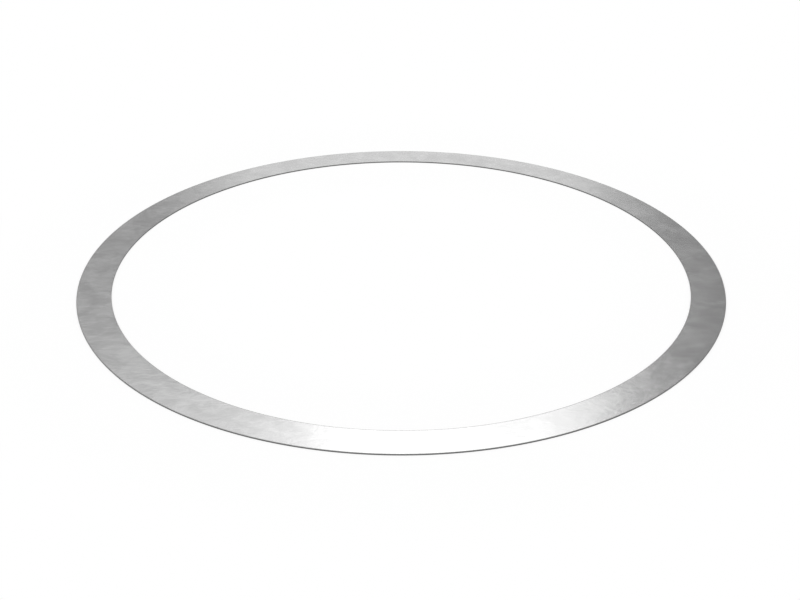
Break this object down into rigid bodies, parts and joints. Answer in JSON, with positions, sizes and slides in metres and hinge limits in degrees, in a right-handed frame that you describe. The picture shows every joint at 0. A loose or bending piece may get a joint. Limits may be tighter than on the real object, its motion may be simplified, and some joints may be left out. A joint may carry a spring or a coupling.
{
  "type": "shim ring",
  "caption": "Thin flat steel shim ring with a wide bore, laid against a bearing or shaft shoulder to take up axial play.",
  "frame": {"origin": "centre of the bore on the lower flat face, which the ring rests on", "axes": "+Z along the bore's axis, from the burr-side face to the rolled-over face; X and Y lie in the ring's plane"},
  "size_m": [0.24, 0.24, 0.0005],
  "materials": {
    "steel_strip": "bright cold-rolled, faintly clouded"
  },
  "bodies": {
    "root": {"shim_ring": "steel_strip"}
  },
  "joints": []
}
